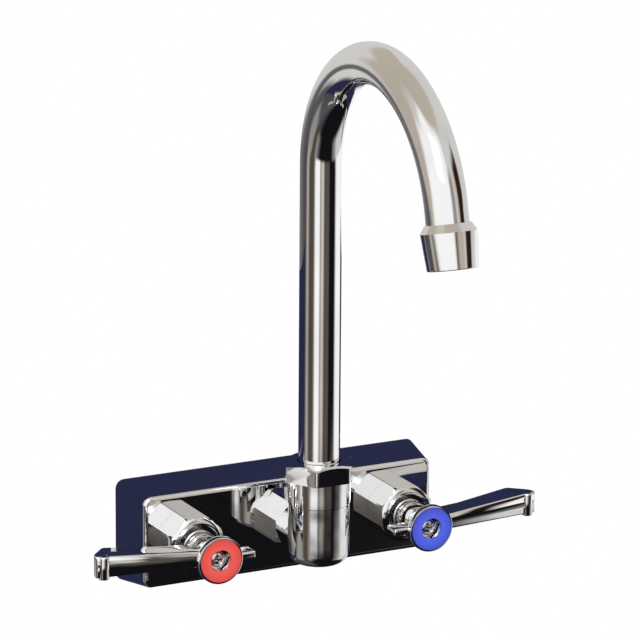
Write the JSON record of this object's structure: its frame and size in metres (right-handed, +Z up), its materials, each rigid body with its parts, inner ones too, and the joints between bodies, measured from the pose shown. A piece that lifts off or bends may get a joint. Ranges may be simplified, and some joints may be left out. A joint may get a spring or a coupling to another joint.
{
  "type": "commercial wall faucet",
  "caption": "Wall-mounted kitchen faucet: drafted block body, quarter-turn lever valves with hot and cold index rings, and a swivelling gooseneck spout with aerator.",
  "frame": {"origin": "on the wall face, midway between the two inlets, at the height of the valve axes", "axes": "+Z up, +Y into the wall (the faucet's front looks along -Y), +X to the cold side"},
  "size_m": [0.2126, 0.1784, 0.2526],
  "materials": {
    "chrome": "polished chrome plate on brass",
    "brass": "bare machined brass",
    "steel": "bright stainless steel",
    "black_rubber": "matt rubber",
    "ceramic": "lapped alumina ceramic",
    "red_fibre": "pressed fibre",
    "white_nylon": "plain nylon",
    "grey_plastic": "plain moulded plastic",
    "hot_red": "gloss red",
    "cold_blue": "gloss blue"
  },
  "bodies": {
    "fixture": {"body": "chrome", "hot_seat_seal": "black_rubber", "hot_fixed_disc": "ceramic", "hot_cartridge_housing": "brass", "hot_cartridge_o_ring": "black_rubber", "hot_bonnet_gasket": "red_fibre", "hot_bonnet_nut": "chrome", "cold_seat_seal": "black_rubber", "cold_fixed_disc": "ceramic", "cold_cartridge_housing": "brass", "cold_cartridge_o_ring": "black_rubber", "cold_bonnet_gasket": "red_fibre", "cold_bonnet_nut": "chrome", "spout_elbow": "chrome", "elbow_gasket": "black_rubber", "swivel_nut": "chrome", "bearing_washer": "white_nylon"},
    "hot_handle": {"hot_lever_handle": "chrome", "hot_index_ring": "hot_red", "hot_handle_screw": "steel", "hot_stem": "brass", "hot_stem_o_ring": "black_rubber", "hot_turning_disc": "ceramic"},
    "cold_handle": {"cold_lever_handle": "chrome", "cold_index_ring": "cold_blue", "cold_handle_screw": "steel", "cold_stem": "brass", "cold_stem_o_ring": "black_rubber", "cold_turning_disc": "ceramic"},
    "spout": {"gooseneck": "chrome", "spout_tail": "brass", "spout_o_ring_lower": "black_rubber", "spout_o_ring_upper": "black_rubber", "aerator_housing": "chrome", "aerator_washer": "black_rubber", "aerator_insert": "grey_plastic"}
  },
  "joints": [
    {"name": "hot_lever_turn", "type": "hinge", "parent": "fixture", "child": "hot_handle", "pos_m": [-0.0508, -0.05, 0], "axis": [0, -1, 0], "range_deg": [0, 90]},
    {"name": "cold_lever_turn", "type": "hinge", "parent": "fixture", "child": "cold_handle", "pos_m": [0.0508, -0.05, 0], "axis": [0, 1, 0], "range_deg": [0, 90]},
    {"name": "spout_swivel", "type": "hinge", "parent": "fixture", "child": "spout", "pos_m": [0, -0.051, 0.03], "axis": [0, 0, 1], "range_deg": [-105, 105]}
  ]
}
